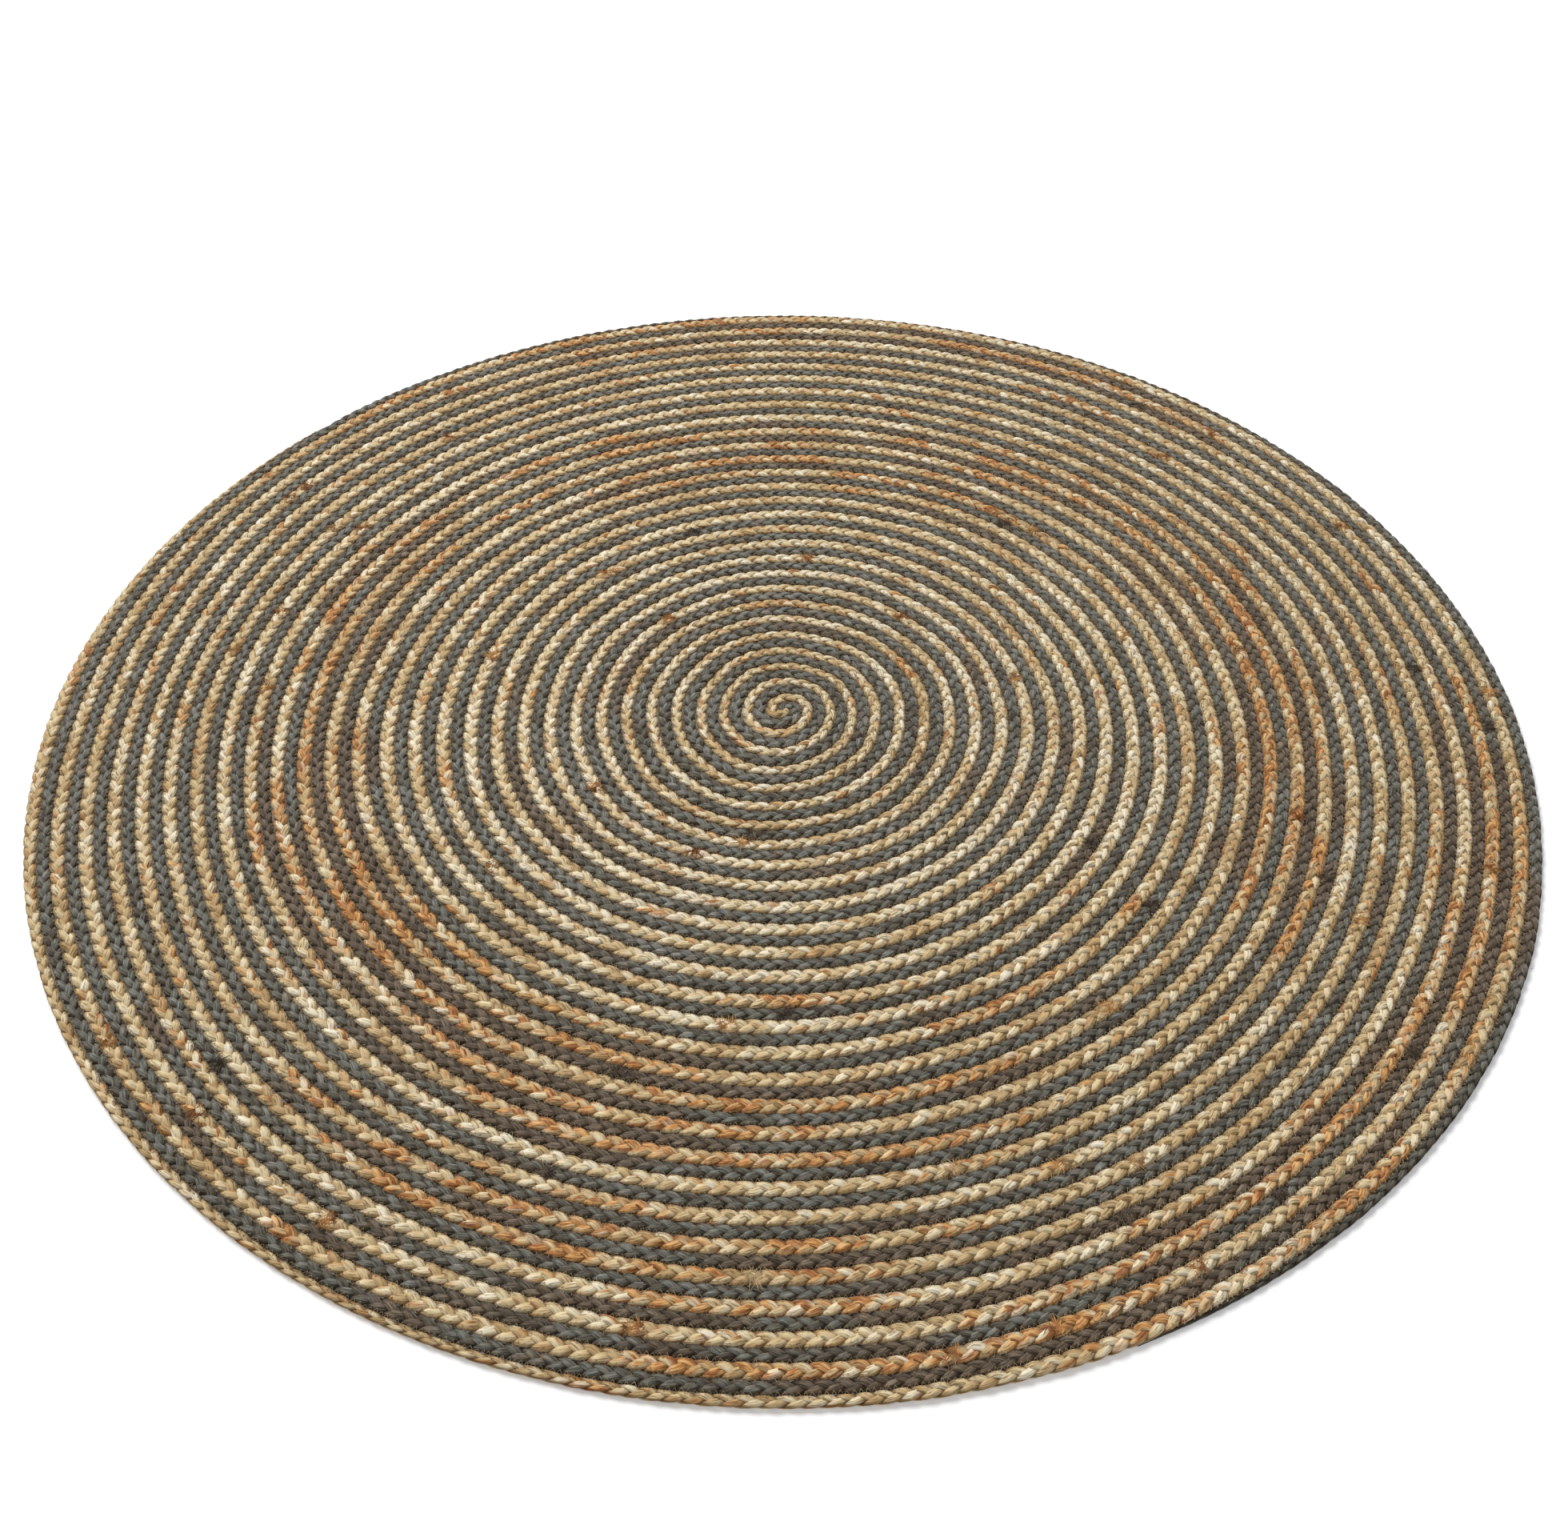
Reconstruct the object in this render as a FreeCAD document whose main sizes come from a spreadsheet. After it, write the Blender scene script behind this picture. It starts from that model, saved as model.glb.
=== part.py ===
import FreeCAD, Part
import os
from FreeCAD import Vector

# A round area rug, plaited and sewn by hand and machine.
#
# Two flat plaits, one of natural jute and one of jute dyed charcoal, lie side by side and
# wind outwards together, clockwise seen from above, until they make a disc. Each plait has
# three strands. Every turn is sewn to the next with a zigzag: a needle thread on the face
# and a bobbin thread on the underside, along both seams of the pair.
#
# Here each strand holds one third of its plait as a plain lane, because the real strands
# cross over and under each other about 1,500 times. The lanes keep the true width, height,
# length and place of the plaits. The tails thin out along the rim, so the outline is round.
#
# Millimetres, +Z up. The origin is the middle of the underside, which lies on the floor.

SIZES = {
    "rug_radius": ("900", "outside radius of the rug"),
    "rug_height": ("9", "thickness of a plait lying flat"),
    "braid_width": ("15.84", "width of one plait between its two seams"),
    "core_radius": ("1.7", "radius inside the first half turn of each plait"),
    "tail_width": ("1.2", "width at which a strand's tail ends at the rim"),
    "stitch_reach": ("2.2", "how far a zigzag reaches to each side of its seam"),
    "stitch_depth": ("0.8", "how far the stitches pull the plaits' edges down"),
    "thread_height": ("0.5", "thickness of the band that a zigzag thread fills"),
    "rim_margin": ("0.5", "distance from the last stitch to the rim"),
}
STRANDS_PER_BRAID = 3
NATURAL_SIDE = 1
CHARCOAL_SIDE = -1

doc = FreeCAD.newDocument("round_rug")


# --- Driving sizes ---------------------------------------------------------------------

def make_sheet():
    """Put every driving size in the spreadsheet, one row each, with its alias."""
    new_sheet = doc.addObject("Spreadsheet::Sheet", "sizes")
    for row, (alias, (value, note)) in enumerate(SIZES.items(), start=1):
        new_sheet.set(f"A{row}", note)
        new_sheet.set(f"B{row}", value)
        new_sheet.setAlias(f"B{row}", alias)
    doc.recompute()
    return new_sheet


sheet = make_sheet()
braid_width = sheet.braid_width
strand_width = braid_width / STRANDS_PER_BRAID
rug_height = sheet.rug_height

# The two plaits start end to end at the middle. Each half turn is a half circle, and its
# centre lies a quarter of the pair's pitch to one side of the origin, then to the other.
centre_offset = braid_width / 2
start_setback = centre_offset - sheet.core_radius


# --- Spiral bands ----------------------------------------------------------------------

def section_wire(section, centre, direction, edge_radius):
    """Stand a section up on the X axis, edge_radius from centre, as a closed wire."""
    points = []
    for offset, height in section:
        points.append(Vector(centre.x + direction * (edge_radius + offset), 0, height))
    return Part.makePolygon(points + points[:1])


def spiral_band(section, first_side, half_turns):
    """Wind a section outwards, clockwise seen from above, and close it as one solid.

    The section's points are (distance from the plait's inner edge, height). first_side is
    +1 for a band that starts on the +X side and -1 for one that starts on the -X side.
    """
    faces = []
    turn = 0
    while turn < half_turns:
        direction = first_side if turn % 2 == 0 else -first_side
        centre = Vector(-direction * centre_offset, 0, 0)
        edge_radius = sheet.core_radius + turn * braid_width
        wire = section_wire(section, centre, direction, edge_radius)
        sweep = -180 * min(1, half_turns - turn)
        faces += wire.revolve(centre, Vector(0, 0, 1), sweep).Faces
        if turn == 0:
            faces.append(Part.Face(wire))
        turn += 1
    wire.rotate(centre, Vector(0, 0, 1), sweep)
    faces.append(Part.Face(wire))
    shell = Part.Shell(faces)
    shell.sewShape()
    solid = Part.Solid(shell)
    if solid.Volume < 0:
        solid.reverse()
    return solid


def half_turns_to(rim_distance, outer_offset):
    """Half turns until a line outer_offset from the inner edge is rim_distance inside the rim."""
    return (sheet.rug_radius - rim_distance + start_setback - outer_offset) / braid_width


# --- Plaits ----------------------------------------------------------------------------

def strand_section(lane):
    """One third of the plait. The first and last thirds are stepped down along the seams."""
    low = 0
    high = rug_height
    near = lane * strand_width
    far = near + strand_width
    step_low = low + sheet.stitch_depth
    step_high = high - sheet.stitch_depth
    if lane == 0:
        step = near + sheet.stitch_reach
        return [(near, step_low), (step, step_low), (step, low), (far, low),
                (far, high), (step, high), (step, step_high), (near, step_high)]
    if lane == STRANDS_PER_BRAID - 1:
        step = far - sheet.stitch_reach
        return [(near, low), (step, low), (step, step_low), (far, step_low),
                (far, step_high), (step, step_high), (step, high), (near, high)]
    return [(near, low), (far, low), (far, high), (near, high)]


def make_outline():
    """The disc that the tails are thinned to, so that the rim is a circle."""
    outline = doc.addObject("Part::Cylinder", "rim_outline")
    outline.setExpression("Radius", "sizes.rug_radius")
    outline.setExpression("Height", "sizes.rug_height")
    return outline


def make_strand(name, lane, first_side, outline):
    """One strand of a plait, from the middle of the rug to its tail at the rim."""
    winding = doc.addObject("Part::Feature", f"{name}_winding")
    half_turns = half_turns_to(sheet.tail_width, lane * strand_width)
    winding.Shape = spiral_band(strand_section(lane), first_side, half_turns)
    strand = doc.addObject("Part::Common", name)
    strand.Base = winding
    strand.Tool = outline
    strand.Label = name
    return strand


def make_braid(colour, first_side, outline):
    """The three strands of one plait, side by side."""
    strands = []
    for lane in range(STRANDS_PER_BRAID):
        strands.append(make_strand(f"{colour}_strand_{lane + 1}", lane, first_side, outline))
    return strands


# --- Sewing ----------------------------------------------------------------------------

def make_thread(name, first_side, inner_level, face_level):
    """The band that one zigzag thread fills, along the seam at a plait's outer edge.

    It lies on the step at inner_level, and its edges slope in to a narrower face.
    """
    near = braid_width - sheet.stitch_reach
    far = braid_width + sheet.stitch_reach
    slope = sheet.thread_height
    section = [(near, inner_level), (far, inner_level),
               (far - slope, face_level), (near + slope, face_level)]
    thread = doc.addObject("Part::Feature", name)
    half_turns = half_turns_to(sheet.rim_margin, far)
    thread.Shape = spiral_band(section, first_side, half_turns)
    thread.Label = name
    return thread


def make_seam(name, first_side):
    """Both threads of one seam, lying in the steps along the plaits' edges."""
    face_step = rug_height - sheet.stitch_depth
    underside_step = sheet.stitch_depth
    return [
        make_thread(f"{name}_needle_thread", first_side, face_step,
                    face_step + sheet.thread_height),
        make_thread(f"{name}_bobbin_thread", first_side, underside_step,
                    underside_step - sheet.thread_height),
    ]


# --- The whole rug ---------------------------------------------------------------------

rim_outline = make_outline()
pieces = make_braid("natural", NATURAL_SIDE, rim_outline)
pieces += make_braid("charcoal", CHARCOAL_SIDE, rim_outline)
pieces += make_seam("natural_edge", NATURAL_SIDE)
pieces += make_seam("charcoal_edge", CHARCOAL_SIDE)
doc.recompute()

for made in doc.Objects:
    if "Invalid" in made.State or "Error" in made.State:
        raise RuntimeError(f"{made.Label} failed: {made.State}")

os.makedirs("parts", exist_ok=True)
for piece in pieces:
    if piece.Shape.isNull() or not piece.Shape.isValid():
        raise RuntimeError(f"{piece.Label} has no valid shape")
    solids = len(piece.Shape.Solids)
    if solids != 1:
        raise RuntimeError(f"{piece.Label} is {solids} solids, not one")
    piece.Shape.exportStep(f"parts/{piece.Label}.step")
    box = piece.Shape.BoundBox
    print(f"{piece.Label}: {piece.Shape.Volume / 1000:.1f} cm3, {box.XLength:.1f} x "
          f"{box.YLength:.1f} x {box.ZLength:.1f} mm")
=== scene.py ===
# %% [markdown]
# # A round rug of two jute plaits
# This lesson builds an area rug the way its maker does. Two flat plaits, one natural and one
# dyed charcoal, lie side by side and wind outwards together until they make a disc. A zigzag
# of thread sews each turn to the next. We first load the CAD model, which fixes the size and
# the place of every piece. Its strands are plain flat lanes, and we put real ones there.
# numpy moves thousands of points at once, where a loop over them would take minutes.

# %% Load the frame
import math

import bpy
import numpy as np
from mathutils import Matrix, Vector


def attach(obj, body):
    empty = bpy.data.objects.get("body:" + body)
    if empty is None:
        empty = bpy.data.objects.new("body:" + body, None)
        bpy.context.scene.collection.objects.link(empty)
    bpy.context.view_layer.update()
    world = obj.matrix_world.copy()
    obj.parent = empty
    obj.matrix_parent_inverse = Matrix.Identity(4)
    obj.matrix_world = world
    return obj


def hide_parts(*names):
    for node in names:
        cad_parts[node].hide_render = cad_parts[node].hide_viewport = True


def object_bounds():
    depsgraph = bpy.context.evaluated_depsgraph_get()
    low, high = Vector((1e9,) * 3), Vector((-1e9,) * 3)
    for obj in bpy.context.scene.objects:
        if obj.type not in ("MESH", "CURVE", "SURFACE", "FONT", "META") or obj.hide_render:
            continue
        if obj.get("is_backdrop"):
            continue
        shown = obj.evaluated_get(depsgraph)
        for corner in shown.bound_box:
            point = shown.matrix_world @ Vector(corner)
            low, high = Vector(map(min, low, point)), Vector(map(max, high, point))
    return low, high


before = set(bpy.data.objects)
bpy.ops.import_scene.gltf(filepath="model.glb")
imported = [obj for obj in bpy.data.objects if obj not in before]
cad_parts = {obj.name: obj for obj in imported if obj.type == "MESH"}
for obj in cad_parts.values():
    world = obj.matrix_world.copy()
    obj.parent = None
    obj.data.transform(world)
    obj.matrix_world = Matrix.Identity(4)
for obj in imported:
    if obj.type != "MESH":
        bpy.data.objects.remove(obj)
cad_low, cad_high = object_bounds()
rug_radius = cad_high.x
rug_height = cad_high.z
print(f"The rug is {2 * rug_radius:.3f} m across and {1000 * rug_height:.1f} mm thick")

# %% [markdown]
# ## The sizes of a plait
# Everything on this rug follows from the width of one plait. A flat plait of three strands
# repeats after each strand has gone from one side to the other and back. Each edge shows
# three bulges, called lobes here, in one repeat. The sizes stand together in one cell, so
# that a rug with finer plaits is a matter of changing a few numbers. `edge_squeeze` is the
# share of its width that a strand keeps where it turns back at an edge.

# %% Driving sizes, in metres
braid_width = 0.01584
core_radius = 0.0017
repeat_length = 0.0534
strands_per_braid = 3
strand_width = 0.0083
strand_thickness = 0.0046
edge_squeeze = 0.88
tail_width = 0.0012
NATURAL_SIDE = 1
CHARCOAL_SIDE = -1
print(f"A turn of both plaits is {2000 * braid_width:.1f} mm wide")

# %% [markdown]
# ## Where the plaits run
# Both plaits start end to end in the middle. Each winds outwards as a chain of half circles,
# whose centres lie a little to the left and right of the rug's own. That is the same spiral
# as in the CAD model. Nobody sews a perfect spiral, though. `wander` packs the turns tighter
# a third of the way out, moves the middle a few millimetres to the front, and makes the outer
# turns a little oval. Nothing strays past the rim, which stays a circle.

# %% How the turns stray
# All of these are shares of the rug's radius.
packing = 0.0145
outer_shrink = 0.0055
shift_left = 0.003
shift_front = 0.0065
oval = 0.004
rim_oval = 0.005
# Each ripple is (waves per turn, phase, change of phase from middle to rim, share of radius).
RIPPLES = [(3, 0.6, 7.0, 0.0013), (5, 3.1, 12.0, 0.0010), (9, 4.0, -22.0, 0.0008)]


def smooth_step(value, low, high):
    """0 below low, 1 above high and a smooth rise between them."""
    share = min(1.0, max(0.0, (value - low) / (high - low)))
    return share * share * (3 - 2 * share)


def wander(azimuth, radius):
    """How far the turns stray outwards from the even spiral at this place."""
    share = radius / rug_radius
    rim = smooth_step(share, 0.6, 1.0)
    tightest = min(1.0, abs(share - 0.35) / 0.5)
    shift = -packing * 0.5 * (1 + math.cos(math.pi * tightest)) - outer_shrink * share
    shift -= shift_left * math.cos(azimuth)
    shift -= shift_front * math.sin(azimuth) * (1 - 1.5 * rim)
    shift -= (oval + rim_oval * rim) * math.cos(2 * azimuth)
    for waves, phase, drift, height in RIPPLES:
        shift += height * math.sin(waves * azimuth + phase + drift * share)
    return shift * rug_radius * min(1, share / 0.12)


print(f"A third of the way out, turns stray by {1000 * wander(0, rug_radius / 3):.0f} mm")

# %% [markdown]
# A point on the spiral is found from the angle walked so far. Every half turn the centre
# changes sides and the radius grows by one plait. The two plaits start half a turn apart.


# %% The spiral
def spiral_point(side, angle, offset):
    """A point on the line that runs offset outside a plait's inner edge."""
    half_turn = int(angle // math.pi)
    direction = side if half_turn % 2 == 0 else -side
    reach = core_radius + half_turn * braid_width + offset
    turn = -angle if side == NATURAL_SIDE else math.pi - angle
    x = -direction * braid_width / 2 + reach * math.cos(turn)
    y = reach * math.sin(turn)
    radius = math.hypot(x, y)
    strayed = min(rug_radius, radius + wander(math.atan2(y, x), radius))
    return np.array([x, y]) * strayed / radius


# %% [markdown]
# The natural plait is a little narrower than the charcoal one in the tight turns near the
# middle, and equally wide further out. Near the rim each plait thins out into a tail, so that
# the outline stays a circle. `trace` walks along a plait and notes its middle line and width.
# It takes shorter steps in the tight turns than further out, so that the line stays smooth
# and the list of points short.


# %% Walk along a line
def narrowing(radius):
    """The share of its width that the natural plait gives up to the charcoal one."""
    return 0.16 * (1 - smooth_step(radius / rug_radius, 0.1, 0.45))


def edge_offsets(side, radius):
    """Offsets of a plait's inner and outer edge from the even spiral."""
    given_up = narrowing(radius) * braid_width
    if side == NATURAL_SIDE:
        return 0.0, braid_width - given_up
    return -given_up, braid_width


def trace(side, measure, lead_in=0.0):
    """Points along a line, the widths there, and the distance walked to each point.

    measure(side, angle) gives a point and a width, or None past the end. The line starts
    straight, lead_in before the first point.
    """
    longest_step = 0.012
    widest_angle = math.radians(6)
    points = []
    widths = []
    angle = 0.0
    while True:
        here = measure(side, angle)
        if here is None:
            break
        point, width = here
        points.append(point)
        widths.append(width)
        angle += min(widest_angle, longest_step / max(np.hypot(*point), 0.01))
    if lead_in:
        backwards = points[0] - points[1]
        points.insert(0, points[0] + lead_in * backwards / np.linalg.norm(backwards))
        widths.insert(0, widths[0])
    points = np.array(points)
    steps = np.linalg.norm(np.diff(points, axis=0), axis=1)
    walked = np.concatenate([[0.0], np.cumsum(steps)])
    return points, np.array(widths), walked


# %% Walk along both plaits
def braid_measure(side, angle):
    """The middle and the width of a plait."""
    around = np.linalg.norm(spiral_point(side, angle, braid_width / 2))
    inner_offset, outer_offset = edge_offsets(side, around)
    inner = spiral_point(side, angle, inner_offset)
    outer = spiral_point(side, angle, outer_offset)
    width = np.linalg.norm(outer - inner)
    if width < tail_width:
        return None
    return (inner + outer) / 2, width


start_length = 0.006
natural_run = trace(NATURAL_SIDE, braid_measure, start_length)
charcoal_run = trace(CHARCOAL_SIDE, braid_measure, start_length)
print(f"Natural plait {natural_run[2][-1]:.1f} m, charcoal plait {charcoal_run[2][-1]:.1f} m")

# %% [markdown]
# ## A tube to start from
# Strands, threads and loose fibres all start as one straight tube. It could be a cylinder
# primitive, but a cylinder has no rings along its length to bend at. So we add a circle and
# extrude its edge ring by ring in edit mode, which gives exactly the rings we ask for. An
# operator acts on all that is selected, so everything is deselected first.


# %% A straight tube
def deselect_all():
    for chosen in list(bpy.context.selected_objects):
        chosen.select_set(False)


def make_active(piece):
    deselect_all()
    piece.select_set(True)
    bpy.context.view_layer.objects.active = piece


def straight_tube(name, sides, rings, length):
    """A tube along +X, open at both ends, extruded ring by ring from a circle."""
    deselect_all()
    quarter = math.pi / 2
    bpy.ops.mesh.primitive_circle_add(vertices=sides, radius=1, rotation=(quarter, 0, quarter))
    tube = bpy.context.active_object
    tube.name = name
    tube.data.name = name
    bpy.ops.object.transform_apply(location=False, rotation=True, scale=False)
    bpy.ops.object.mode_set(mode="EDIT")
    bpy.ops.mesh.select_all(action="SELECT")
    for _ in range(rings):
        bpy.ops.mesh.extrude_region_move(
            TRANSFORM_OT_translate={"value": (length / rings, 0, 0)})
    bpy.ops.mesh.select_all(action="SELECT")
    bpy.ops.mesh.normals_make_consistent(inside=False)
    bpy.ops.object.mode_set(mode="OBJECT")
    return tube


# %% [markdown]
# A mesh keeps its points in Blender's own memory. These four helpers copy them out as rows
# of an array and back again. An attribute is one more row of numbers at each point. A
# material can read it, so the colour of jute can follow the strand it is painted on.


# %% Points and attributes
def read_points(mesh):
    """The mesh's vertices as an array with one row each."""
    values = np.empty(len(mesh.vertices) * 3, np.float32)
    mesh.vertices.foreach_get("co", values)
    return values.reshape(-1, 3).astype(np.float64)


def write_points(mesh, points):
    mesh.vertices.foreach_set("co", points.astype(np.float32).ravel())
    mesh.update()


def write_vectors(mesh, name, vectors):
    """Store one vector at each vertex, for a material to read."""
    layer = mesh.attributes.get(name) or mesh.attributes.new(name, "FLOAT_VECTOR", "POINT")
    layer.data.foreach_set("vector", vectors.astype(np.float32).ravel())


def read_vectors(mesh, name):
    layer = mesh.attributes[name]
    values = np.empty(len(layer.data) * 3, np.float32)
    layer.data.foreach_get("vector", values)
    return values.reshape(-1, 3).astype(np.float64)


# %% [markdown]
# ## One repeat of a strand
# Seen from the end of a plait, each strand draws a flat figure of eight: it crosses from side
# to side once while it goes up and down twice. A curve with a round bevel could follow that,
# but a jute strand is flat, and it is squeezed where it turns back. So we move each ring of
# the tube to its place ourselves. A ring leans outwards near an edge, so the lobes overlap
# like roof tiles. Six sides and twelve rings are few, because each repeat is copied about
# 1,500 times.

# %% The figure of eight
RING_SIDES = 6
RINGS_PER_REPEAT = 12
sway = (braid_width - edge_squeeze * strand_width) / 2
lift = (rug_height - strand_thickness) / 2
lobe_lean = math.radians(20)


def plait_place(points, phase):
    """Move a straight tube's points onto the figure of eight. phase is a share of a repeat."""
    along, side, up = points.T
    turn = 2 * np.pi * (along / repeat_length + phase)
    slope_side = sway * np.cos(turn) * 2 * np.pi / repeat_length
    slope_up = 2 * lift * np.cos(2 * turn) * 2 * np.pi / repeat_length
    swell = np.sin(2 * turn) ** 2
    half_width = 0.5 * strand_width * (edge_squeeze + 0.10 * swell)
    half_thickness = 0.5 * strand_thickness * (1.12 - 0.14 * swell)
    lean = -lobe_lean * np.sin(turn) * np.sin(2 * turn)
    across = side * (1 + 0.28 * np.abs(up)) * half_width
    above = up * half_thickness
    turned_across = across * np.cos(lean) - above * np.sin(lean)
    turned_above = across * np.sin(lean) + above * np.cos(lean)
    length = np.hypot(1, slope_side)
    x = along - turned_across * slope_side / length - turned_above * slope_up / length
    y = sway * np.sin(turn) + turned_across / length
    z = lift * np.sin(2 * turn) + turned_above
    return np.column_stack([x, y, z])


def strand_repeat(phase):
    """One repeat of a strand whose figure of eight starts at this phase."""
    tube = straight_tube("strand_repeat", RING_SIDES, RINGS_PER_REPEAT, repeat_length)
    points = read_points(tube.data)
    write_vectors(tube.data, "fibre", points)
    write_points(tube.data, plait_place(points, phase))
    return tube


print(f"A strand sways {1000 * sway:.1f} mm to each side and rises {1000 * lift:.1f} mm")

# %% [markdown]
# ## From one repeat to a whole strand
# An Array modifier copies the repeat along a straight line for the strand's whole length, and
# a Curve modifier then bends that line onto the spiral. The other way round, placing each
# repeat on the spiral, would leave a step wherever two of them meet.


# %% Array and curve
def apply_modifiers(piece):
    make_active(piece)
    for modifier in list(piece.modifiers):
        bpy.ops.object.modifier_apply(modifier=modifier.name)


def array_along(piece, step, count):
    array = piece.modifiers.new("repeat", "ARRAY")
    array.use_relative_offset = False
    array.use_constant_offset = True
    array.constant_offset_displace = (step, 0, 0)
    array.count = count
    array.use_merge_vertices = True
    array.merge_threshold = 0.0001
    apply_modifiers(piece)


def close_ends(piece):
    make_active(piece)
    bpy.ops.object.mode_set(mode="EDIT")
    bpy.ops.mesh.select_all(action="SELECT")
    bpy.ops.mesh.fill_holes(sides=RING_SIDES)
    bpy.ops.object.mode_set(mode="OBJECT")


def spiral_path(name, points):
    """A flat NURBS curve along a run, for the Curve modifier to bend a strand onto."""
    data = bpy.data.curves.new(name, "CURVE")
    data.dimensions = "3D"
    data.twist_mode = "Z_UP"
    data.resolution_u = 2
    spline = data.splines.new("NURBS")
    spline.points.add(len(points) - 1)
    rows = np.column_stack([points, np.zeros(len(points)), np.ones(len(points))])
    spline.points.foreach_set("co", rows.astype(np.float32).ravel())
    spline.order_u = 3
    spline.use_endpoint_u = True
    path = bpy.data.objects.new(name, data)
    bpy.context.scene.collection.objects.link(path)
    return path


def bend_onto(piece, path):
    curve = piece.modifiers.new("bend", "CURVE")
    curve.object = path
    curve.deform_axis = "POS_X"
    apply_modifiers(piece)


# %% [markdown]
# ## Batches of jute
# A maker splices jute from the next bale every few hand spans, so the colour of all three
# strands changes in runs. Some bales are redder, and their runs lie side by side over a few
# turns, because the maker used them up on the same day. A texture could not know where a
# strand was spliced, so each point gets two numbers: how red and how pale its jute is.


# %% Smooth random values
def smooth_noise(rng, along, spacing, length=90):
    """Random values from -1 to 1 at even spacing, joined smoothly, read at each place."""
    values = rng.uniform(-1, 1, int(length / spacing) + 4)
    place = np.clip(along / spacing + 1, 0, len(values) - 2)
    index = place.astype(int)
    share = place - index
    share = share * share * (3 - 2 * share)
    return values[index] * (1 - share) + values[index + 1] * share


# %% Red and pale runs
# Each batch of redder jute is (direction in degrees, share of radius, half its spread in
# degrees, half its spread as a share of radius, strength).
RED_BATCHES = [
    (225, 0.66, 75, 0.11, 1.0),
    (0, 0.66, 50, 0.12, 0.8),
    (85, 0.62, 55, 0.13, 0.6),
    (310, 0.92, 70, 0.09, 0.8),
    (90, 0.95, 60, 0.06, 0.9),
    (160, 0.66, 35, 0.06, 0.6),
    (255, 0.83, 35, 0.06, 0.7),
]


def write_batches(mesh, along, seed):
    """Note at each vertex how red and how pale its jute is, from 0 to 1."""
    rng = np.random.default_rng(seed)
    points = read_points(mesh)
    azimuth = np.degrees(np.arctan2(points[:, 1], points[:, 0]))
    share = np.hypot(points[:, 0], points[:, 1]) / rug_radius
    zone = np.zeros(len(points))
    for direction, middle, spread, reach, strength in RED_BATCHES:
        away = np.abs((azimuth - direction + 180) % 360 - 180) / spread
        apart = np.abs(share - middle) / reach
        bump = np.clip(1.6 * (1 - away), 0, 1) * np.clip(1.6 * (1 - apart), 0, 1)
        zone = np.maximum(zone, strength * bump)
    runs = 0.7 * smooth_noise(rng, along, 0.22, 120)
    runs += 0.5 * smooth_noise(rng, along, 0.07, 120)
    red = np.clip((runs + 1.25 * zone - 0.52) / 0.45, 0, 1)
    pale = 0.5 + 0.45 * smooth_noise(rng, along, 0.7, 120)
    pale += 0.25 * smooth_noise(rng, along, 0.12, 120)
    pale += 0.35 * np.clip(1 - np.abs(share - 0.32) / 0.22, 0, 1)
    unused = np.zeros(len(points))
    write_vectors(mesh, "batch", np.column_stack([red, np.clip(pale, 0, 1.2), unused]))


print(f"{len(RED_BATCHES)} zones of redder jute")

# %% [markdown]
# ## Handwork
# Jute has thick and thin places, and no two lobes of a hand-made plait sit alike. While the
# strand is still straight, it is easy to make it uneven: one number says how far along the
# strand a point is, and smooth random values follow that number. The plait is also pressed
# against its neighbours by the stitches, so its bulging edges are flattened into nearly
# straight lines. `fit_to_run` does that and gives the strand its plait's width and height.


# %% Uneven strands
# Shares of the strand's width, then distances in metres.
bulge = 0.10
slow_bulge = 0.06
stray_sideways = 0.0006
stray_upwards = 0.0004
dent_depth = 0.00035
lobe_shift = 0.0035


def uneven_spacing(along, braid):
    """How far each lobe is shifted along its plait: the same for all three strands."""
    rng = np.random.default_rng(braid["seed"] + 7)
    length = braid["run"][2][-1]
    shift = lobe_shift * smooth_noise(rng, along, 0.09, length)
    return shift * np.clip(np.minimum(along, length - along) / 0.05, 0, 1)


def roughen(points, fibre, along, rng):
    """Make a straight strand uneven, in place."""
    swell = 1 + bulge * smooth_noise(rng, along, 0.019)
    swell += slow_bulge * smooth_noise(rng, along, 0.05)
    sideways = stray_sideways * smooth_noise(rng, along, 0.016)
    upwards = stray_upwards * smooth_noise(rng, along, 0.014)
    angle = np.arctan2(fibre[:, 2], fibre[:, 1])
    dent = np.zeros(len(along))
    for waves in (1, 2, 3):
        depth = dent_depth / waves * smooth_noise(rng, along, 0.008)
        dent += depth * np.cos(waves * angle + 3 * smooth_noise(rng, along, 0.03))
    points[:, 1] = points[:, 1] * swell + sideways + dent * np.cos(angle)
    points[:, 2] = points[:, 2] + upwards + dent * np.sin(angle)


# %% Fit a strand to its plait
# The plait's edges are pressed in from pressed_edge, a share of its width. A higher
# pressed_power makes them straighter.
pressed_edge = 0.46
pressed_power = 5


def fit_to_run(points, along, run, fullness, flatness):
    """Give a straight strand its plait's width and height at each place, and stand it up."""
    _, widths, walked = run
    share = np.interp(along, walked, widths) / braid_width
    start = np.clip(along / 0.008, 0, 1)
    finish = np.clip((walked[-1] - along) / 0.05, 0, 1)
    rounding = np.sqrt(0.25 + 0.75 * start * finish)
    height = flatness * np.clip(share, 0, 1) ** 0.3 * rounding
    points[:, 1] *= fullness * share * rounding
    limit = pressed_edge * fullness * braid_width * share * rounding
    pressed = (np.abs(points[:, 1]) / limit) ** pressed_power
    points[:, 1] /= (1 + pressed) ** (1 / pressed_power)
    points[:, 2] *= height
    points[:, 2] += 0.5 * rug_height * height


print(f"Lobes sit up to {1000 * lobe_shift:.1f} mm from their even places")

# %% [markdown]
# Each strand is made in an inner and an outer length, which meet end to end, because one mesh
# would be too heavy. The three strands of a plait differ only in where on the figure of eight
# they start: a third of a repeat apart.


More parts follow.
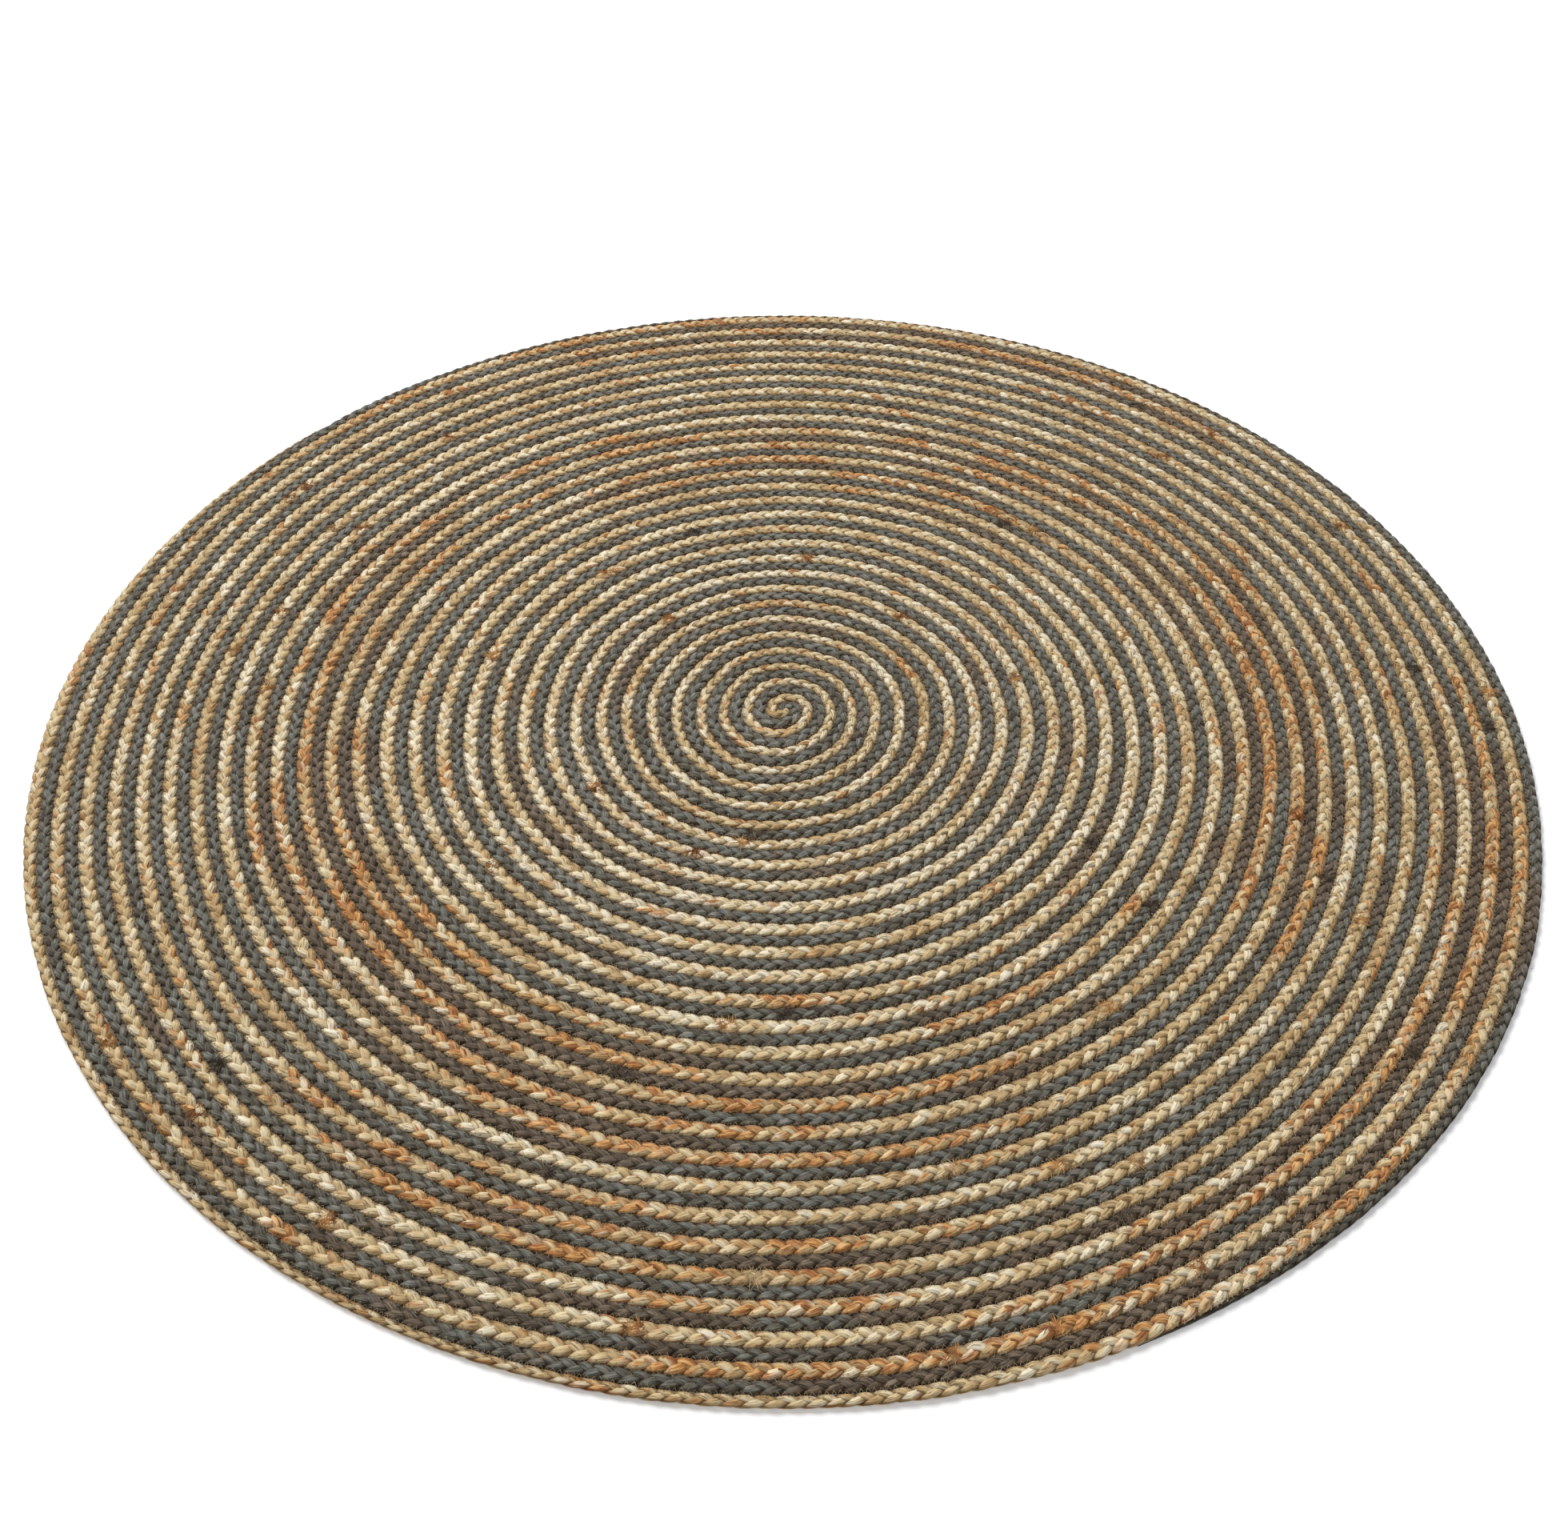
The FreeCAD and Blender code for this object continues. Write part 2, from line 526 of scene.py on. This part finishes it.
# %% One length of a strand
def make_length(name, repeat, first, count, braid, strand, seed):
    """One length of a strand: repeats first to first + count - 1 of the whole strand."""
    rng = np.random.default_rng(seed)
    piece = repeat.copy()
    piece.data = repeat.data.copy()
    piece.name = name
    piece.data.name = name
    bpy.context.scene.collection.objects.link(piece)
    points = read_points(piece.data)
    points[:, 0] += first * repeat_length
    write_points(piece.data, points)
    array_along(piece, repeat_length, count)
    close_ends(piece)
    points = read_points(piece.data)
    fibre = read_vectors(piece.data, "fibre")
    points[:, 0] *= braid["step"] / repeat_length
    points[:, 0] += uneven_spacing(points[:, 0], braid)
    along = points[:, 0].copy()
    roughen(points, fibre, along, rng)
    fit_to_run(points, along, braid["run"], braid["fullness"], braid["flatness"])
    write_points(piece.data, points)
    write_vectors(piece.data, "fibre",
                  np.column_stack([along + 100 * strand, fibre[:, 1], fibre[:, 2]]))
    bend_onto(piece, braid["path"])
    write_batches(piece.data, along, braid["seed"])
    bpy.ops.object.shade_smooth()
    return piece


# %% One plait
def make_braid(colour, run, fullness, flatness, material, seed):
    """All the lengths of a plait's three strands."""
    repeats = int(run[2][-1] / repeat_length)
    braid = {
        "run": run,
        "path": spiral_path(f"{colour}_path", run[0]),
        "step": run[2][-1] / repeats,
        "fullness": fullness,
        "flatness": flatness,
        "seed": seed,
    }
    halfway = repeats // 2
    lengths = [("inner", 0, halfway), ("outer", halfway, repeats - halfway)]
    made = []
    for strand in range(strands_per_braid):
        repeat = strand_repeat(strand / strands_per_braid)
        node = f"{colour}_strand_{strand + 1}"
        for word, first, count in lengths:
            piece = make_length(f"{node}_{word}", repeat, first, count, braid, strand,
                                seed + 10 * strand + len(made))
            piece.data.materials.append(material)
            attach(piece, "root")
            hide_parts(node)
            made.append(piece)
        bpy.data.objects.remove(repeat)
    bpy.data.objects.remove(braid["path"])
    triangles = sum(len(p.data.polygons) for p in made) * 2
    print(f"{colour}: {repeats} repeats, about {triangles} triangles in {len(made)} pieces")


# %% [markdown]
# ## Materials
# Jute is a coarse, dry bast fibre with a faint sheen. Its colour changes along each strand,
# and fine streaks run with the fibres. An image would repeat over 160 m of plait, so the
# materials are made of noise. The `fibre` attribute holds the distance along the strand and
# the place around it, so noise read through it is drawn out along the strand.


# %% Nodes and links
def new_material(name):
    material = bpy.data.materials.new(name)
    material.use_nodes = True
    return material


def add_node(material, kind, **settings):
    node = material.node_tree.nodes.new(kind)
    for setting, value in settings.items():
        setattr(node, setting, value)
    return node


def link(material, source, target):
    material.node_tree.links.new(source, target)


# %% Noise along a strand
def fibre_vector(material, along_scale, around_scale):
    """The fibre attribute, stretched for one scale of noise."""
    attribute = add_node(material, "ShaderNodeAttribute", attribute_name="fibre")
    mapping = add_node(material, "ShaderNodeMapping")
    mapping.inputs["Scale"].default_value = (along_scale, around_scale, around_scale)
    link(material, attribute.outputs["Vector"], mapping.inputs["Vector"])
    return mapping.outputs["Vector"]


def fibre_noise(material, along_scale, around_scale, detail=2.0, offset=0.0):
    """Noise along a strand. The scales count features per metre and per strand radius."""
    noise = add_node(material, "ShaderNodeTexNoise", noise_dimensions="4D")
    noise.inputs["Scale"].default_value = 1.0
    noise.inputs["Detail"].default_value = detail
    noise.inputs["W"].default_value = offset
    link(material, fibre_vector(material, along_scale, around_scale), noise.inputs["Vector"])
    return noise.outputs["Fac"]


# %% [markdown]
# Noise is only a number from 0 to 1. A colour ramp turns it into the colours that jute has,
# and a mix node puts one layer of colour over another.


# %% Colours from values
def ramp(material, factor, stops):
    """A colour for each value of factor. Each stop is (value, colour)."""
    node = add_node(material, "ShaderNodeValToRGB")
    elements = node.color_ramp.elements
    while len(elements) < len(stops):
        elements.new(0.5)
    for element, (place, colour) in zip(elements, stops):
        element.position = place
        element.color = (*colour, 1)
    link(material, factor, node.inputs["Fac"])
    return node.outputs["Color"]


def mix(material, factor, first, second, blend="MIX"):
    """The second colour over the first, as far as factor says."""
    node = add_node(material, "ShaderNodeMix", data_type="RGBA", blend_type=blend)
    if isinstance(factor, float):
        node.inputs["Factor"].default_value = factor
    else:
        link(material, factor, node.inputs["Factor"])
    link(material, first, node.inputs["A"])
    link(material, second, node.inputs["B"])
    return node.outputs["Result"]


# %% [markdown]
# Raised fibres catch the light, so the streaks that colour a strand also push its surface in
# and out as bump, and their palest parts are painted highlight. Sheen stands for the fine
# fuzz, which glows when it is seen from low down. The colour is also darkened with depth below
# either
# face: painted shade for the little light that comes in between the strands, with some dust.


# %% Finish of a fibre
def finish_fibre(material, colour, streaks, roughness, sheen):
    """Wire a colour and fibre streaks into the shader."""
    shader = material.node_tree.nodes["Principled BSDF"]
    shader.inputs["Roughness"].default_value = roughness
    shader.inputs["Sheen Weight"].default_value = sheen
    shader.inputs["Sheen Roughness"].default_value = 0.4
    shader.inputs["Sheen Tint"].default_value = (1.0, 0.92, 0.80, 1)
    shader.inputs["Specular IOR Level"].default_value = 0.15
    link(material, colour, shader.inputs["Base Color"])
    bump = add_node(material, "ShaderNodeBump")
    bump.inputs["Strength"].default_value = 0.8
    bump.inputs["Distance"].default_value = 0.0014
    link(material, streaks, bump.inputs["Height"])
    link(material, bump.outputs["Normal"], shader.inputs["Normal"])


def painted_gap_shade(material, colour, darkest, half_way):
    """Darken a colour down in the gaps between strands: painted shade, with a little dust."""
    place = add_node(material, "ShaderNodeTexCoord")
    split = add_node(material, "ShaderNodeSeparateXYZ")
    link(material, place.outputs["Object"], split.inputs["Vector"])
    height = add_node(material, "ShaderNodeMath", operation="SUBTRACT")
    height.inputs[1].default_value = rug_height / 2
    link(material, split.outputs["Z"], height.inputs[0])
    depth = add_node(material, "ShaderNodeMath", operation="ABSOLUTE")
    link(material, height.outputs["Value"], depth.inputs[0])
    share = add_node(material, "ShaderNodeMapRange")
    share.inputs["From Max"].default_value = rug_height / 2
    link(material, depth.outputs["Value"], share.inputs["Value"])
    # painted shade: darkest at the rug's middle height between the strands, none near either
    # face
    shade = ramp(material, share.outputs["Result"], [
        (0.10, darkest),
        (0.45, half_way),
        (0.72, (1, 1, 1)),
    ])
    return mix(material, 1.0, colour, shade, "MULTIPLY")


def raise_level(material, amount, level, weight):
    """level + weight * amount, for a threshold that depends on the batch."""
    total = add_node(material, "ShaderNodeMath", operation="MULTIPLY_ADD")
    total.inputs[1].default_value = weight
    link(material, amount, total.inputs[0])
    link(material, level, total.inputs[2])
    return total.outputs["Value"]


def batch_parts(material):
    """The red and the pale share of the batch, as two sockets."""
    batch = add_node(material, "ShaderNodeAttribute", attribute_name="batch")
    split = add_node(material, "ShaderNodeSeparateXYZ")
    link(material, batch.outputs["Vector"], split.inputs["Vector"])
    return split.outputs["X"], split.outputs["Y"]


# %% [markdown]
# ## Natural jute
# Retted jute goes from straw to cream, and a redder bale goes from rust to orange. Two ramps
# hold these colours. Where a batch is red, the noise passes the threshold more often, so rust
# comes in broken stretches, as it does where fibres of two bales are mixed.


# %% Natural jute
def straw_colour(material, pale, seed):
    patches = raise_level(material, pale, fibre_noise(material, 20.0, 0.3, 2.0, seed), 0.13)
    return ramp(material, patches, [
        (0.42, (0.44, 0.300, 0.145)),
        (0.52, (0.57, 0.425, 0.230)),
        (0.58, (0.64, 0.510, 0.300)),
        (0.64, (0.71, 0.605, 0.405)),
        (0.72, (0.77, 0.695, 0.535)),
    ])


def add_rust(material, straw, red, seed):
    rust_noise = fibre_noise(material, 26.0, 0.5, 2.0, seed + 20)
    rust_level = raise_level(material, red, rust_noise, 0.15)
    rust_amount = ramp(material, rust_level, [
        (0.58, (0, 0, 0)),
        (0.70, (0.92, 0.92, 0.92)),
    ])
    rust_tone = ramp(material, fibre_noise(material, 60.0, 1.5, 2.0, seed + 30), [
        (0.40, (0.29, 0.095, 0.027)),
        (0.50, (0.51, 0.225, 0.064)),
        (0.60, (0.66, 0.380, 0.145)),
    ])
    return mix(material, rust_amount, straw, rust_tone)


def natural_material(name, seed):
    material = new_material(name)
    red, pale = batch_parts(material)
    tinted = add_rust(material, straw_colour(material, pale, seed), red, seed)
    streaks = fibre_noise(material, 85.0, 3.0, 4.0, seed + 40)
    # The streaks mix fibre grain with painted highlight: the top stop lightens the jute past
    # its own colour.
    streak_grain_and_highlight = ramp(material, streaks, [
        (0.35, (0.40, 0.34, 0.27)),
        (0.44, (0.80, 0.77, 0.72)),
        (0.52, (1.0, 1.0, 1.0)),
        (0.64, (1.09, 1.09, 1.09)),
    ])
    colour = mix(material, 1.0, tinted, streak_grain_and_highlight, "MULTIPLY")
    # painted shade in the gaps between strands, mild and warm on the natural jute
    shaded = painted_gap_shade(material, colour, (0.38, 0.30, 0.22), (0.93, 0.90, 0.86))
    finish_fibre(material, shaded, streaks, 0.72, 0.16)
    return material


# %% [markdown]
# ## Charcoal jute
# The same fibre, dyed. The dye is a cool grey where it took well and a warm brown where the
# redder jute shows through. Pale streaks of painted highlight stand for loose fibres catching
# the light, stronger than on the natural jute, because the ground is dark.


# %% Charcoal jute
def dyed_colour(material, red, pale, seed):
    patches = raise_level(material, pale, fibre_noise(material, 22.0, 0.3, 3.0, seed), 0.08)
    grey = ramp(material, patches, [
        (0.42, (0.082, 0.068, 0.051)),
        (0.50, (0.113, 0.107, 0.087)),
        (0.58, (0.138, 0.141, 0.124)),
        (0.68, (0.178, 0.190, 0.185)),
    ])
    brown_amount = ramp(material, raise_level(material, red, patches, 0.30), [
        (0.60, (0, 0, 0)),
        (0.78, (0.85, 0.85, 0.85)),
    ])
    brown = ramp(material, patches, [
        (0.40, (0.078, 0.050, 0.031)),
        (0.70, (0.156, 0.112, 0.075)),
    ])
    return mix(material, brown_amount, grey, brown)


def charcoal_material(name, seed):
    material = new_material(name)
    red, pale = batch_parts(material)
    grey = dyed_colour(material, red, pale, seed)
    streaks = fibre_noise(material, 85.0, 3.0, 4.0, seed + 40)
    # The streaks mix fibre grain with painted highlight: the top stops lighten the dyed jute
    # well past its own colour.
    streak_grain_and_highlight = ramp(material, streaks, [
        (0.35, (0.34, 0.32, 0.29)),
        (0.44, (0.78, 0.77, 0.75)),
        (0.52, (1.05, 1.05, 1.05)),
        (0.64, (1.65, 1.62, 1.54)),
    ])
    colour = mix(material, 1.0, grey, streak_grain_and_highlight, "MULTIPLY")
    # painted shade in the gaps between strands, deep and brown on the charcoal jute
    shaded = painted_gap_shade(material, colour, (0.18, 0.13, 0.08), (0.71, 0.65, 0.57))
    finish_fibre(material, shaded, streaks, 0.70, 0.36)
    return material


# %% [markdown]
# ## Make both plaits
# The natural plait is fuller, so it stands a little proud of the charcoal one and presses
# into it. Each plait gets a width factor and a height factor for that, and a seed of its own,
# so that the two aren't uneven at the same places.

# %% Make both plaits
natural_jute = natural_material("natural_jute", 3.0)
charcoal_jute = charcoal_material("charcoal_jute", 7.0)
make_braid("natural", natural_run, fullness=1.33, flatness=1.0, material=natural_jute,
           seed=100)
make_braid("charcoal", charcoal_run, fullness=1.12, flatness=0.92, material=charcoal_jute,
           seed=200)

# %% [markdown]
# ## The zigzag stitches
# The sewing machine swings its needle from one plait to the next, so its thread draws a
# zigzag over each seam on the face and, with the bobbin thread, another on the underside. A
# texture would be flat where real thread lies proud. One V of thin thread is enough to model,
# and an array and a curve carry it along the seam. First comes the line of the seam.

# %% Where the seams run
stitch_reach = 0.0024
stitch_pitch = 0.0031


def seam_measure(side, angle):
    """The seam along a plait's outer edge, up to where the next plait outside it ends."""
    around = np.linalg.norm(spiral_point(side, angle, braid_width))
    outer_offset = edge_offsets(side, around)[1]
    seam = spiral_point(side, angle, outer_offset)
    if np.linalg.norm(seam) > rug_radius - stitch_reach:
        return None
    return seam, 2 * stitch_reach


# %% [markdown]
# The thread shows straw-coloured over the charcoal plait. Over the natural one, where it sinks
# in, it gets a painted shade of dark brown. The material reads that from the `fibre`
# attribute, whose second number runs from painted shade (0) to the thread's own straw colour
# (1).


# %% Sewing thread
def thread_material():
    material = new_material("sewing_thread")
    shader = material.node_tree.nodes["Principled BSDF"]
    attribute = add_node(material, "ShaderNodeAttribute", attribute_name="fibre")
    split = add_node(material, "ShaderNodeSeparateXYZ")
    link(material, attribute.outputs["Vector"], split.inputs["Vector"])
    # painted shade at the dark end of the ramp, the thread's own colour towards the pale end
    colour = ramp(material, split.outputs["Y"], [
        (0.10, (0.24, 0.15, 0.08)),
        (0.50, (0.48, 0.36, 0.20)),
        (0.95, (0.62, 0.50, 0.32)),
    ])
    link(material, colour, shader.inputs["Base Color"])
    shader.inputs["Roughness"].default_value = 0.7
    return material


# %% One V of thread
THREAD_SIDES = 3
thread_radius = 0.00033


def zigzag_repeat(swing, pitch):
    """Two legs of a zigzag as a three-sided tube along +X."""
    tube = straight_tube("zigzag_repeat", THREAD_SIDES, 2, 2 * pitch)
    points = read_points(tube.data)
    ring = np.rint(points[:, 0] / pitch).astype(int)
    points[:, 1:] *= thread_radius
    points[:, 1] += np.where(ring % 2 == 0, -swing, swing)
    write_points(tube.data, points)
    return tube


# %% [markdown]
# A machine sews evenly, but its thread sinks into soft places and is pushed aside by hard
# ones. The straight zigzag is made uneven before it is bent onto the seam, as the strands
# are. On the straight line, +Y is outwards, so `charcoal_side` is 1 where the charcoal plait
# lies outside the seam and -1 where it lies inside.

# %% One thread
# How much a leg of the zigzag is pushed along, widened and sunk.
thread_push = 0.0011
thread_widening = 0.45
thread_dip = 0.0006


def make_thread(node, side, level, pitch, swing, charcoal_side, seed):
    """One thread along the seam at a plait's outer edge."""
    run = trace(side, seam_measure)
    path = spiral_path(f"{node}_path", run[0])
    piece = zigzag_repeat(swing, pitch)
    piece.name = f"{node}_sewn"
    piece.data.name = piece.name
    repeats = int(run[2][-1] / (2 * pitch))
    array_along(piece, 2 * pitch, repeats)
    close_ends(piece)
    rng = np.random.default_rng(seed)
    points = read_points(piece.data)
    along = points[:, 0].copy()
    # painted shade on the legs over the natural plait, the thread's own straw over the
    # charcoal, with some random change
    over_charcoal = 0.5 + 0.5 * charcoal_side * np.sign(points[:, 1])
    shade_and_tone = np.clip(over_charcoal + 0.4 * smooth_noise(rng, along, 0.01), 0, 1)
    write_vectors(piece.data, "fibre", np.column_stack([along, shade_and_tone, shade_and_tone]))
    points[:, 0] += thread_push * smooth_noise(rng, along, 0.0031)
    points[:, 1] *= 1 + thread_widening * smooth_noise(rng, along, 0.0035)
    points[:, 2] += level + thread_dip * smooth_noise(rng, along, 0.006)
    write_points(piece.data, points)
    bend_onto(piece, path)
    bpy.data.objects.remove(path)
    piece.data.materials.append(sewing_thread)
    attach(piece, "root")
    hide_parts(node)
    print(f"{node}: {2 * repeats} stitches")


# %% [markdown]
# The needle threads lie on the face, sunk about a millimetre into the groove between two
# plaits. The bobbin threads do the same on the underside. Nobody sees those, so their zigzag
# is narrower and three times as long, which saves faces.

# %% Sew both seams
sewing_thread = thread_material()
thread_sink = 0.0011
face_level = rug_height - thread_sink
bobbin_pitch = 3 * stitch_pitch
bobbin_reach = 0.5 * stitch_reach
SEAMS = [("natural_edge", NATURAL_SIDE, 1, 301), ("charcoal_edge", CHARCOAL_SIDE, -1, 302)]
for name, side, charcoal_side, seed in SEAMS:
    make_thread(f"{name}_needle_thread", side, face_level, stitch_pitch, stitch_reach,
                charcoal_side, seed)
for name, side, charcoal_side, seed in SEAMS:
    make_thread(f"{name}_bobbin_thread", side, thread_sink, bobbin_pitch, bobbin_reach,
                charcoal_side, seed + 2)

# %% [markdown]
# ## Loose fibres
# Jute is hairy. Fibre ends stand out of every plait, mostly beside the stitches, and a splice
# leaves a tuft. A particle system could grow them, but it isn't a mesh. Each fibre here is a
# thin three-sided tube with a bend in it. We model one.


# %% One fibre
def one_fibre():
    """A closed tube of two segments along +X, one metre long and one metre in radius."""
    tube = straight_tube("one_fibre", THREAD_SIDES, 2, 1.0)
    make_active(tube)
    bpy.ops.object.mode_set(mode="EDIT")
    bpy.ops.mesh.select_all(action="SELECT")
    bpy.ops.mesh.fill_holes(sides=THREAD_SIDES)
    bpy.ops.mesh.normals_make_consistent(inside=False)
    bpy.ops.object.mode_set(mode="OBJECT")
    return tube


# %% [markdown]
# An Array modifier would give every copy the same angle, so arrays of numbers place, turn and
# stretch the copies along the straight plait. A fibre gets thinner towards its tip and rises
# in the middle, as a stiff hair does when it is pressed down.


# %% Copies of a fibre
def scatter_fibres(name, model, fibres):
    """Copy the model once per fibre, turned, stretched and bent upwards, as one mesh."""
    shape = read_points(model.data)
    faces = [list(polygon.vertices) for polygon in model.data.polygons]
    share = shape[:, 0]
    taper = 1 - 0.7 * share
    headings = fibres["headings"]
    flat = np.zeros(len(headings))
    forward = np.column_stack([np.cos(headings), np.sin(headings), flat])
    sideways = np.column_stack([-np.sin(headings), np.cos(headings), flat])
    reach = fibres["lengths"][:, None] * share[None, :]
    across = fibres["radii"][:, None] * (shape[:, 1] * taper)[None, :]
    above = fibres["radii"][:, None] * (shape[:, 2] * taper)[None, :]
    above = above + fibres["rises"][:, None] * np.sin(0.8 * np.pi * share)[None, :]
    points = fibres["roots"][:, None, :] + reach[..., None] * forward[:, None, :]
    points = points + across[..., None] * sideways[:, None, :]
    points[..., 2] += above
    every_face = []
    for copy in range(len(headings)):
        first = copy * len(shape)
        every_face += [[first + corner for corner in face] for face in faces]
    mesh = bpy.data.meshes.new(name)
    mesh.from_pydata(points.reshape(-1, 3).tolist(), [], every_face)
    piece = bpy.data.objects.new(name, mesh)
    bpy.context.scene.collection.objects.link(piece)
    return piece


# %% [markdown]
# Single fibres start on both sides of a plait's middle and point towards its edge, because
# the needle pulls them out there. The fibres of a tuft are thicker, start close together on
# top of the plait and point every way. The sizes below are in metres.

# %% Where the fibres grow
FIBRES_PER_PLAIT = 4100
FIBRES_PER_TUFT = 46
tuft_spread_along = 0.0045
tuft_spread_across = 0.0025
tuft_fibre_radius = 0.00055
fibre_radius = 0.00015


def grow_fibres(length, splices, rng):
    """Roots, headings, lengths, radii and rises of all the fibres on a straight plait."""
    spots = rng.uniform(2, length - 1, splices)
    single = FIBRES_PER_PLAIT - FIBRES_PER_TUFT * len(spots)
    along = rng.uniform(0.05, length - 0.6, single)
    along = np.concatenate([along, np.repeat(spots, FIBRES_PER_TUFT)])
    count = len(along)
    tuft = np.arange(count) >= single
    along = along + np.where(tuft, rng.normal(0, tuft_spread_along, count), 0)
    edge = np.where(rng.random(count) < 0.5, -1.0, 1.0)
    place = np.where(tuft, rng.normal(0, tuft_spread_across, count),
                     edge * rng.uniform(0.002, 0.0068, count))
    level = np.where(tuft, 0.0080, 0.0084 - 0.25 * np.abs(place))
    return {
        "tuft": tuft,
        "roots": np.column_stack([along, place, level]),
        "headings": edge * np.radians(rng.uniform(15, 165, count)),
        "lengths": np.where(tuft, rng.uniform(0.005, 0.013, count),
                            rng.uniform(0.004, 0.010, count)),
        "radii": np.where(tuft, tuft_fibre_radius, fibre_radius),
        "rises": np.where(tuft, rng.uniform(-0.0005, 0.0016, count),
                          rng.uniform(0.0, 0.0014, count)),
    }


# %% [markdown]
# The fibres have the strands' own material, so they get both of its attributes. A tuft is
# redder than the plait it stands on, because a splice holds the rough root ends of the jute.
# The plait's own curve then carries all the fibres round.


# %% Grow and bend the fibres
def make_fibres(colour, run, splices, material, seed):
    """Loose fibres all along a plait, and a tuft at each splice."""
    fibres = grow_fibres(run[2][-1], splices, np.random.default_rng(seed))
    model = one_fibre()
    piece = scatter_fibres(f"{colour}_loose_fibres", model, fibres)
    bpy.data.objects.remove(model)
    points = read_points(piece.data)
    ones = np.ones(len(points))
    write_vectors(piece.data, "fibre", np.column_stack([points[:, 0], 0.3 * ones, 0.9 * ones]))
    path = spiral_path(f"{colour}_fibre_path", run[0])
    bend_onto(piece, path)
    bpy.data.objects.remove(path)
    count = len(fibres["tuft"])
    in_tuft = np.repeat(fibres["tuft"], len(points) // count).astype(float)
    write_vectors(piece.data, "batch", np.column_stack(
        [1.6 * in_tuft, 0.8 - 0.6 * in_tuft, 0 * ones]))
    piece.data.materials.append(material)
    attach(piece, "root")
    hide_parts(f"{colour}_strand_1")
    print(f"{colour}: {count} loose fibres, with tufts at {splices} splices")


make_fibres("natural", natural_run, splices=46, material=natural_jute, seed=401)
make_fibres("charcoal", charcoal_run, splices=16, material=charcoal_jute, seed=402)

# %% [markdown]
# ## The floor
# The rug lies on a plain white studio floor. The plane is so large that its edge stays out of
# view, and a little emission keeps it white where less light falls on it.


# %% The floor
def make_floor():
    deselect_all()
    bpy.ops.mesh.primitive_plane_add(size=60, location=(0, 0, 0))
    floor = bpy.context.active_object
    floor.name = "floor"
    material = new_material("floor_white")
    shader = material.node_tree.nodes["Principled BSDF"]
    shader.inputs["Base Color"].default_value = (0.93, 0.93, 0.93, 1)
    shader.inputs["Roughness"].default_value = 0.9
    shader.inputs["Emission Color"].default_value = (1, 1, 1, 1)
    shader.inputs["Emission Strength"].default_value = 0.12
    floor.data.materials.append(material)
    floor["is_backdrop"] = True


# %% [markdown]
# ## Light
# Two distant lights and a softbox over the far edge, all soft, stand for a studio's white
# ceiling. The key light comes from the back left, so every lobe has a bright side and a
# shaded one. The softbox is near, so the far half of the rug is lit more than the near half.


# %% Lights
def make_light(name, azimuth, elevation, strength, softness):
    """A distant soft light: where it shines from, its strength and its spread in degrees."""
    data = bpy.data.lights.new(name, "SUN")
    data.energy = strength
    data.angle = math.radians(softness)
    light = bpy.data.objects.new(name, data)
    light.rotation_euler = (0, math.radians(90 - elevation), math.radians(azimuth))
    light.location = (0, 0, 3)
    bpy.context.scene.collection.objects.link(light)


def make_softbox(name, place, size, power):
    """A square lamp that faces straight down and lights what is under it most."""
    data = bpy.data.lights.new(name, "AREA")
    data.size = size
    data.energy = power
    lamp = bpy.data.objects.new(name, data)
    lamp.location = place
    lamp.visible_camera = False
    bpy.context.scene.collection.objects.link(lamp)


def make_world(strength):
    world = bpy.data.worlds.new("studio")
    world.use_nodes = True
    background = world.node_tree.nodes["Background"]
    background.inputs["Color"].default_value = (1, 1, 1, 1)
    background.inputs["Strength"].default_value = strength
    bpy.context.scene.world = world


# %% [markdown]
# ## Camera
# The camera stands nearly two radii in front of the rug's middle and as far above it, and
# looks down at 45 degrees. Its place is given in radii, so the view fits a rug of any size.
# Blender's Standard view transform keeps the white floor white.


# %% Camera
def make_camera():
    data = bpy.data.cameras.new("camera")
    data.sensor_width = 36
    data.lens = 42.7
    camera = bpy.data.objects.new("camera", data)
    in_front = 1.8446 * rug_radius
    above = 1.7511 * rug_radius
    camera.location = (0, -in_front, rug_height + above)
    camera.rotation_euler = (math.radians(44.98), 0, 0)
    bpy.context.scene.collection.objects.link(camera)
    bpy.context.scene.camera = camera


# %% Set the stage
make_floor()
make_world(0.38)
make_light("key_light", azimuth=125, elevation=42, strength=2.65, softness=34)
make_light("fill_light", azimuth=290, elevation=60, strength=0.35, softness=60)
make_softbox("softbox", place=(-0.40, 0.80, 1.30), size=1.0, power=6.4)
make_camera()
bpy.context.scene.view_settings.view_transform = "Standard"

# %% [markdown]
# ## Measure the looks
# The looks must be as large as the CAD model they stand for, give or take a few millimetres of
# fuzz. The script prints their size.

# %% Measure the looks
looks_low, looks_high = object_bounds()
across, deep, high = looks_high - looks_low
print(f"The looks measure {across:.3f} x {deep:.3f} x {high:.4f} m")
